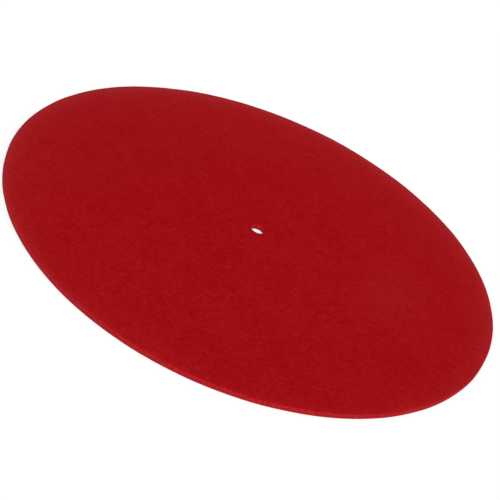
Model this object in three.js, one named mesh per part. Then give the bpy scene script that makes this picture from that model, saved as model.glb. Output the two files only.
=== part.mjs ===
// Felt platter mat for a turntable, in millimetres, +Z up.
// One disc, die-cut from a sheet of thick felt. It lies on the platter, the record lies on it,
// and the spindle comes up through the hole at its centre.
// The origin is the centre of the underside.
import * as THREE from "three";

// Driving dimensions
const matDiameter = 295; // drops inside the rim of a platter for 12-inch records
const matThickness = 3; // the sheet of felt
const holeDiameter = 7.7; // drops easily over a 7.2 mm spindle
const upperEdgeRadius = 0.6; // the cutting die presses the felt down as it goes in
const lowerEdgeRadius = 0.25; // the felt parts cleanly where the die comes out

// Smoothness of the round forms
const turnSegments = 144; // facets round the disc
const edgeDivisions = 2; // each rounded edge has twice as many facets

const feltMaterial = new THREE.MeshStandardMaterial({ color: 0x9d1116, roughness: 0.95, metalness: 0 });

// Cut section of the felt from the hole to the rim, drawn with X as radius and Y as height.
// It holds the four rounded edges, and the straight faces follow between them.
function feltSection() {
  const holeRadius = holeDiameter / 2;
  const rimRadius = matDiameter / 2;
  const upperCentre = matThickness - upperEdgeRadius;
  const quarter = Math.PI / 2;

  const section = new THREE.Path();
  section.absarc(rimRadius - lowerEdgeRadius, lowerEdgeRadius, lowerEdgeRadius, -quarter, 0);
  section.absarc(rimRadius - upperEdgeRadius, upperCentre, upperEdgeRadius, 0, quarter);
  section.absarc(holeRadius + upperEdgeRadius, upperCentre, upperEdgeRadius, quarter, 2 * quarter);
  section.absarc(holeRadius + lowerEdgeRadius, lowerEdgeRadius, lowerEdgeRadius, 2 * quarter, 3 * quarter);
  section.closePath();
  return section.getPoints(edgeDivisions);
}

// The section turned once round the spindle's axis
function feltMat() {
  const disc = new THREE.LatheGeometry(feltSection(), turnSegments);
  disc.rotateX(Math.PI / 2);
  const mat = new THREE.Mesh(disc, feltMaterial);
  mat.name = "felt_mat";
  return mat;
}

const platterMat = new THREE.Group();
platterMat.add(feltMat());

export default platterMat;
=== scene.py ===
import bpy, bmesh, math
from mathutils import Matrix, Vector, noise


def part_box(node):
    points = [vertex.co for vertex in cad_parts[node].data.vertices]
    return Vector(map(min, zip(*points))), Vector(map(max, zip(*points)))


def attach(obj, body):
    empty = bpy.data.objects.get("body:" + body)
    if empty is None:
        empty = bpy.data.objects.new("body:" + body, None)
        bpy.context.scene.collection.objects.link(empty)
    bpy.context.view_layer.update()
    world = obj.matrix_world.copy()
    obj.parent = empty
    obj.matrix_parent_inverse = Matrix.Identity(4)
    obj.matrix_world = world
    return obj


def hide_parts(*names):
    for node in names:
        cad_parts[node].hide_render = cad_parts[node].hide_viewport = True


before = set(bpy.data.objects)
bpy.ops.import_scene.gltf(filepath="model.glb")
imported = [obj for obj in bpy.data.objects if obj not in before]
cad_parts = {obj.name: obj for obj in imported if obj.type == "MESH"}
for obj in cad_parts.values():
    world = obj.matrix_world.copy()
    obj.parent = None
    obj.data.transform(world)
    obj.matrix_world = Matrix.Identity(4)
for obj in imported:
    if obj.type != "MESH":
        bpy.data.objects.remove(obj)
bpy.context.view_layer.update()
matLow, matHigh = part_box("felt_mat")
rimRadius = (matHigh.x - matLow.x) / 2
thickness = matHigh.z - matLow.z
print("frame loaded")


# a node's output that can stand in a sum, which adds the Math nodes
class Value:
    def __init__(self, shader, socket):
        self.shader = shader
        self.socket = socket

    def __add__(self, other):
        return self.shader.math("ADD", self, other)

    def __radd__(self, other):
        return self.shader.math("ADD", other, self)

    def __sub__(self, other):
        return self.shader.math("SUBTRACT", self, other)

    def __rsub__(self, other):
        return self.shader.math("SUBTRACT", other, self)

    def __mul__(self, other):
        return self.shader.math("MULTIPLY", self, other)

    def __rmul__(self, other):
        return self.shader.math("MULTIPLY", other, self)


# a node tree that starts empty and is filled one node at a time
class Shader:
    def __init__(self, owner):
        owner.use_nodes = True
        self.tree = owner.node_tree
        self.tree.nodes.clear()

    def node(self, kind, settings, sockets, output=0):
        made = self.tree.nodes.new(kind)
        for name, setting in settings.items():
            setattr(made, name, setting)
        for name, given in sockets.items():
            if isinstance(given, Value):
                self.tree.links.new(given.socket, made.inputs[name])
            else:
                made.inputs[name].default_value = given
        return Value(self, made.outputs[output]) if made.outputs else None

    def math(self, operation, *given):
        return self.node("ShaderNodeMath", {"operation": operation}, dict(enumerate(given)))


# the felt as it lies: a die-cut ring that the spindle passes through
felt = {
    "holeDiameter": 0.0077,
    "upperEdge": 0.0006,  # rounded where the die went in
    "lowerEdge": 0.00025,
    "edgeFacets": 4,
    "sameCircle": 1e-6,  # ends closer than this in radius and height lie on one circle
    "turnSteps": 600,
    "topRings": 112,
    "undersideRings": 12,
    "wallRows": 4,
    # the top's unevenness, none at the underside
    "swells": [
        {"length": 0.034, "height": 0.00022},  # the sheet's slow waves
        {"length": 0.0075, "height": 0.00007},  # thicker and thinner felting
        {"length": 0.004, "height": 0.00003},  # grain
    ],
    "rimWander": 0.00018,  # the cut strays this much from a true circle
    "wanderLength": 0.02,
    "wanderFade": 12,  # power of the radius, so that only the rim strays
    # painted light and shade in the colour: a pale sheen at the rim, palest on one side and in patches, a
    # shaded patch and a highlight along the rim
    "sheenRims": [  # painted sheen: paler by so much at the rim, and fading over this width
        {"paintedPale": 0.8, "width": 0.002},  # painted sheen, narrowest
        {"paintedPale": 1.1, "width": 0.0055},  # painted sheen, a little wider
        {"paintedPale": 0.36, "width": 0.042},  # painted sheen, broad
    ],
    "sheenSide": -166,  # degrees from the front to the side where the painted sheen at the rim is palest
    "sideMean": 0.56, "sideSwing": 0.47,  # how much of that shows, round the mat
    "sheenPatches": [  # painted sheen in patches, each fading from its middle, this far across and along the mat
        {"paintedPale": 0.165, "middle": (0.084, -0.008), "reach": (0.037, 0.064)},  # more painted sheen
        {"paintedPale": -0.115, "middle": (0.087, -0.055), "reach": (0.026, 0.026)},  # less painted sheen
    ],
    # painted shade: the colour darker over one patch towards the left
    "shadedPatch": {"light": -0.043, "middle": (-0.105, 0.029), "reach": (0.153, 0.153)},
    "rimHighlight": 0.032, "rimHighlightWidth": 0.006,  # painted highlight: brighter along the rim, fading over this width
    "cutFade": 4,  # power of the slope, so that the rounded edges count little as cut
}


def isRound(edge):
    # runs round the disc, so both ends are as far out and as high
    near, far = (vert.co for vert in edge.verts)
    return max(abs(near.xy.length - far.xy.length), abs(near.z - far.z)) < felt["sameCircle"]


def feltRing():
    holeRadius = felt["holeDiameter"] / 2
    ring = bmesh.new()
    section = [(holeRadius, 0), (rimRadius, 0), (rimRadius, thickness), (holeRadius, thickness)]
    corners = [ring.verts.new((out, 0, up)) for out, up in section]
    sides = [ring.edges.new((corners[i - 1], corners[i])) for i in range(4)]
    bmesh.ops.spin(ring, geom=corners + sides, cent=(0, 0, 0), axis=(0, 0, 1), dvec=(0, 0, 0),
                   angle=2 * math.pi, steps=felt["turnSteps"], use_merge=True, use_duplicate=False)
    for name, side in (("upperEdge", 1), ("lowerEdge", -1)):
        rims = [edge for edge in ring.edges
                if isRound(edge) and side * (edge.verts[0].co.z - thickness / 2) > 0]
        bmesh.ops.bevel(ring, geom=rims, offset=felt[name], segments=felt["edgeFacets"],
                        profile=0.5, affect="EDGES", material=-1)
    spokes = [edge for edge in ring.edges if edge.calc_length() > rimRadius / 2]
    topSpokes = [edge for edge in spokes if edge.verts[0].co.z > thickness / 2]
    lowSpokes = [edge for edge in spokes if edge.verts[0].co.z < thickness / 2]
    uprights = [edge for edge in ring.edges if abs(edge.verts[0].co.z - edge.verts[1].co.z) > thickness / 2]
    for edges, parts in ((topSpokes, "topRings"), (lowSpokes, "undersideRings"), (uprights, "wallRows")):
        bmesh.ops.subdivide_edges(ring, edges=edges, cuts=felt[parts] - 1, use_grid_fill=True)
    bmesh.ops.recalc_face_normals(ring, faces=ring.faces[:])
    return ring


def unevenness(place, length):
    return noise.noise(Vector((place.x, place.y, 0)) / length)


def patchShare(place, patch):
    # 1 at the patch's middle, falling smoothly to 0 where it ends
    across, along = place.xy - Vector(patch["middle"])
    acrossReach, alongReach = patch["reach"]
    inwards = max(0, 1 - math.hypot(across / acrossReach, along / alongReach))
    return inwards * inwards * (3 - 2 * inwards)


def rimShare(place, width):
    # 1 at the rim, fading inwards
    return math.exp((place.xy.length - rimRadius) / width)


def paintedSheenShare(place):
    # how much of the pale colour the painted sheen adds
    azimuth = math.atan2(place.x, -place.y)
    side = felt["sideMean"] + felt["sideSwing"] * math.cos(azimuth - math.radians(felt["sheenSide"]))
    rims = sum(rim["paintedPale"] * rimShare(place, rim["width"]) for rim in felt["sheenRims"])
    patches = sum(patch["paintedPale"] * patchShare(place, patch) for patch in felt["sheenPatches"])
    return side * rims + patches


def paintedLightAndShade(place):
    # painted light and shade in the colour's lightness: a painted highlight along the rim and a painted
    # shade in one patch
    highlight = felt["rimHighlight"] * rimShare(place, felt["rimHighlightWidth"])
    return highlight + felt["shadedPatch"]["light"] * patchShare(place, felt["shadedPatch"])


def feltMat():
    ring = feltRing()
    cutEdge = ring.verts.layers.float.new("cutEdge")
    # the next two hold painted light: the painted sheen, then the painted highlight along the rim with the
    # painted shade in one patch
    paintedSheen = ring.verts.layers.float.new("paintedSheen")
    paintedLight = ring.verts.layers.float.new("paintedLight")
    ring.normal_update()
    for vert in ring.verts:
        place = vert.co.copy()
        vert[cutEdge] = vert.normal.xy.length ** felt["cutFade"]  # 1 on the cut walls and 0 on the faces
        # painted sheen, then painted highlight and painted shade
        vert[paintedSheen] = paintedSheenShare(place)
        vert[paintedLight] = paintedLightAndShade(place)
        for swell in felt["swells"]:
            vert.co.z += place.z / thickness * swell["height"] * unevenness(place, swell["length"])
        atRim = (place.xy.length / rimRadius) ** felt["wanderFade"]
        strayed = felt["rimWander"] * unevenness(place, felt["wanderLength"])
        vert.co.xy *= 1 + atRim * (strayed / rimRadius)
    mesh = bpy.data.meshes.new("platter_mat")
    ring.to_mesh(mesh)
    ring.free()
    mesh.shade_smooth()
    piece = bpy.data.objects.new("platter_mat", mesh)
    bpy.context.scene.collection.objects.link(piece)
    return piece


# colours are linear, as they are written on the sockets
feltLook = {
    "deep": (0.3025, 0.0006, 0.0021, 1),
    "bright": (0.3658, 0.0072, 0.0105, 1),
    "cut": (0.13, 0.0112, 0.0145, 1),  # added on the cut edge and the loose fibre: partly the paler fibre ends, partly painted light that makes the cut walls brighter than the top
    "paintedPale": (0.0123, 0.0123, 0.0123, 1),  # painted sheen: a pale haze added towards the rim and in patches
    "roughness": 0.95,
    "sheen": 0.006, "sheenRoughness": 0.5, "sheenTint": (1.0, 0.8, 0.8, 1),
    "bumpStrength": 0.22, "bumpDistance": 0.0003,
    "toneMiddle": 0.5,  # halfway from deep to bright, where all noises are at their middle
    "noiseMiddle": 0.5,
    "fibreMiddle": 0.6,  # higher, because the fibres are the highest of several noises
    # each noise's sockets, with its scale per metre, and its share in the tone, lightness and bump
    "blotch": {"Scale": 38, "Detail": 2, "Roughness": 0.5},
    "blotchTone": 0.4,
    "mottle": {"Scale": 260, "Detail": 3, "Roughness": 0.6, "Distortion": 0.6},
    "mottleTone": 0.15, "mottleLight": 0.1, "mottleBump": 0.4,
    "speck": {"Scale": 1050, "Detail": 1, "Roughness": 0.5},
    "speckTone": 0.85, "speckBump": 0.2,
    "fibre": {"Scale": 915, "Detail": 1, "Roughness": 0.5, "Distortion": 0.8},
    "fibreTone": 2.45, "fibreBump": 0.5, "fibreStretch": 4.5,
    "fibreTurns": (4, 57, 139),  # degrees, so the fibres cross
    # how much of the cut edge's paler colour and painted wall light shows, and how it varies
    "cutLeast": 0.4, "cutMottle": 0.8, "cutSpeck": 2.0,
    # the loose fibre lies in a loop, drawn a little thinner, with a knot beside it
    "loopPlace": (-0.0066, -0.0493, 0.003), "loopRadius": 0.0013, "loopThinner": 0.0003,
    "knotPlace": (-0.0073, -0.0435, 0.003), "looseWidth": 0.0011,
    "looseMiddle": 0.9, "looseSpeck": 3, "looseBump": 0.3,
}


def feltNoise(shader, place, name):
    return shader.node("ShaderNodeTexNoise", {}, {"Vector": place, **feltLook[name]})


def crossedFibres(shader, place):
    # the same noise drawn out along several directions, and the highest of them
    fibres = None
    for turn in feltLook["fibreTurns"]:
        laid = shader.node("ShaderNodeMapping", {"vector_type": "TEXTURE"}, {
            "Vector": place, "Rotation": (0, 0, math.radians(turn)),
            "Scale": (feltLook["fibreStretch"], 1, 1)})
        strand = feltNoise(shader, laid, "fibre")
        fibres = strand if fibres is None else shader.math("MAXIMUM", strand, fibres)
    return fibres


def curledFibre(shader, place):
    # 1 along the loose fibre and 0 beside it
    fromLoop, fromKnot = [
        shader.node("ShaderNodeVectorMath", {"operation": "DISTANCE"}, {
            0: place, 1: feltLook[spot]}, "Value")
        for spot in ("loopPlace", "knotPlace")]
    fromRing = shader.math("ABSOLUTE", fromLoop - feltLook["loopRadius"]) + feltLook["loopThinner"]
    return shader.node("ShaderNodeMapRange", {"interpolation_type": "SMOOTHSTEP"}, {
        "Value": shader.math("MINIMUM", fromRing, fromKnot), "From Max": feltLook["looseWidth"],
        "To Min": 1.0, "To Max": 0.0})


def mixed(shader, blend, share, first, second):
    # socket 0 takes the factor, 6 and 7 the colours, and output 2 gives the mixed colour
    return shader.node("ShaderNodeMix", {"data_type": "RGBA", "blend_type": blend}, {
        0: share, 6: first, 7: second}, 2)


def feltMaterial():
    material = bpy.data.materials.new("felt")
    shader = Shader(material)
    place = shader.node("ShaderNodeTexCoord", {}, {}, "Object")
    blotch, mottle, speck = [feltNoise(shader, place, name) for name in ("blotch", "mottle", "speck")]
    fibres = crossedFibres(shader, place)
    looseFibre = curledFibre(shader, place)
    # the cut walls, then the painted sheen, then the painted highlight and painted shade, as the vertices
    # hold them
    cutEdge, paintedSheen, paintedLight = [
        shader.node("ShaderNodeAttribute", {"attribute_name": name}, {}, "Fac")
        for name in ("cutEdge", "paintedSheen", "paintedLight")]
    middle = feltLook["noiseMiddle"]

    tone = (feltLook["toneMiddle"]
            + (blotch - middle) * feltLook["blotchTone"]
            + (mottle - middle) * feltLook["mottleTone"]
            + (speck - middle) * feltLook["speckTone"]
            + (fibres - feltLook["fibreMiddle"]) * feltLook["fibreTone"])
    face = mixed(shader, "MIX", tone, feltLook["deep"], feltLook["bright"])
    # the lightness takes the painted highlight along the rim and the painted shade in one patch
    lightness = 1 + (mottle - middle) * feltLook["mottleLight"] + paintedLight
    mottledAndLit = shader.node("ShaderNodeHueSaturation", {}, {"Color": face, "Value": lightness})
    # painted sheen: a pale haze added towards the rim and in patches
    sheened = mixed(shader, "ADD", paintedSheen, mottledAndLit, feltLook["paintedPale"])
    # the cut walls take the paler colour: partly fibre ends, partly painted light that makes them brighter
    # than the top
    cutEnds = cutEdge * (feltLook["cutLeast"] + mottle * feltLook["cutMottle"]
                         + (speck - middle) * feltLook["cutSpeck"])
    looseEnds = looseFibre * (feltLook["looseMiddle"] + (speck - middle) * feltLook["looseSpeck"])
    colour = mixed(shader, "ADD", cutEnds + looseEnds, sheened, feltLook["cut"])

    height = (mottle * feltLook["mottleBump"] + fibres * feltLook["fibreBump"]
              + speck * feltLook["speckBump"] + looseFibre * feltLook["looseBump"])
    bump = shader.node("ShaderNodeBump", {}, {
        "Height": height, "Strength": feltLook["bumpStrength"], "Distance": feltLook["bumpDistance"]})
    surface = shader.node("ShaderNodeBsdfPrincipled", {}, {
        "Base Color": colour, "Normal": bump,
        "Roughness": feltLook["roughness"], "Specular IOR Level": 0.0,
        "Sheen Weight": feltLook["sheen"], "Sheen Roughness": feltLook["sheenRoughness"],
        "Sheen Tint": feltLook["sheenTint"]})
    shader.node("ShaderNodeOutputMaterial", {}, {"Surface": surface})
    return material


mat = feltMat()
mat.data.materials.append(feltMaterial())
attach(mat, "root")
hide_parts("felt_mat")
print("felt mat made")


studio = {
    "floorSize": 30,
    "floorDrop": 0.0001,  # it lies this far below the underside, so that the two never coincide
    "floorColour": (0.5, 0.5, 0.5, 1),  # what it throws back on the mat
    "floorShade": (0.25, 0.25, 0.25, 1),  # how much of the light on it the camera sees
    "floorGlow": 0.77,
    "skyLight": 0.53,
    "lamps": {  # each gives its share of the light on a level face
        "key": {"share": 0.27, "azimuth": 62, "elevation": 33, "angle": 50},
        "fill": {"share": 0.20, "azimuth": -35, "elevation": 35, "angle": 60},
    },
}


def seenDirectly(shader):
    # 1 for what the camera sees straight, in a reflection or through glass
    straight, reflected, through = [
        shader.node("ShaderNodeLightPath", {}, {}, ray)
        for ray in ("Is Camera Ray", "Is Glossy Ray", "Is Transmission Ray")]
    return shader.math("MAXIMUM", shader.math("MAXIMUM", straight, reflected), through)


def floorPlane():
    sheet = bmesh.new()
    bmesh.ops.create_grid(sheet, x_segments=1, y_segments=1, size=studio["floorSize"] / 2,
                          matrix=Matrix.Translation((0, 0, -studio["floorDrop"])))
    mesh = bpy.data.meshes.new("floor")
    sheet.to_mesh(mesh)
    sheet.free()
    floor = bpy.data.objects.new("floor", mesh)
    bpy.context.scene.collection.objects.link(floor)
    material = bpy.data.materials.new("floor")
    shader = Shader(material)
    bounce = shader.node("ShaderNodeBsdfDiffuse", {}, {"Color": studio["floorColour"]})
    shaded = shader.node("ShaderNodeBsdfDiffuse", {}, {"Color": studio["floorShade"]})
    glow = shader.node("ShaderNodeEmission", {}, {"Color": (1, 1, 1, 1), "Strength": studio["floorGlow"]})
    shown = shader.node("ShaderNodeAddShader", {}, {0: shaded, 1: glow})
    surface = shader.node("ShaderNodeMixShader", {}, {0: seenDirectly(shader), 1: bounce, 2: shown})
    shader.node("ShaderNodeOutputMaterial", {}, {"Surface": surface})
    mesh.materials.append(material)


def skyLight():
    world = bpy.data.worlds.new("studio")
    bpy.context.scene.world = world
    shader = Shader(world)
    soft = shader.node("ShaderNodeBackground", {}, {"Color": (1, 1, 1, 1), "Strength": studio["skyLight"]})
    white = shader.node("ShaderNodeBackground", {}, {"Color": (1, 1, 1, 1), "Strength": 1})
    surface = shader.node("ShaderNodeMixShader", {}, {0: seenDirectly(shader), 1: soft, 2: white})
    shader.node("ShaderNodeOutputWorld", {}, {"Surface": surface})


def towards(azimuth, elevation):
    # unit vector from the mat, where azimuth 0 is the front and 90 is the right
    turn, rise = math.radians(azimuth), math.radians(elevation)
    return Vector((math.sin(turn) * math.cos(rise), -math.cos(turn) * math.cos(rise), math.sin(rise)))


def softLamp(name, given):
    # a lamp so far off that it lights the floor evenly
    lamp = bpy.data.lights.new(name, "SUN")
    away = towards(given["azimuth"], given["elevation"])
    lamp.energy = given["share"] * math.pi / away.z
    lamp.angle = math.radians(given["angle"])
    holder = bpy.data.objects.new(name, lamp)
    holder.rotation_euler = away.to_track_quat("Z", "Y").to_euler()
    bpy.context.scene.collection.objects.link(holder)


# worked out from the outline of the disc in the photograph
view = {
    "aim": (0.0007, -0.0244, thickness),
    "distance": 0.7007,
    "elevation": 32.1,
    "roll": 24.16,  # degrees, so the picture is turned clockwise
    "lens": 90.65,
    "clipEnd": 50,  # past the floor's far edge
}


def photoCamera():
    lens = bpy.data.cameras.new("camera")
    lens.lens = view["lens"]
    lens.clip_end = view["clipEnd"]
    camera = bpy.data.objects.new("camera", lens)
    back = towards(0, view["elevation"])
    roll = Matrix.Rotation(math.radians(view["roll"]), 4, "Z")
    place = Matrix.Translation(Vector(view["aim"]) + back * view["distance"])
    camera.matrix_world = place @ back.to_track_quat("Z", "Y").to_matrix().to_4x4() @ roll
    bpy.context.scene.collection.objects.link(camera)
    bpy.context.scene.camera = camera


floorPlane()
skyLight()
for name, given in studio["lamps"].items():
    softLamp(name, given)
photoCamera()
bpy.context.scene.view_settings.view_transform = "Standard"
print("studio made")
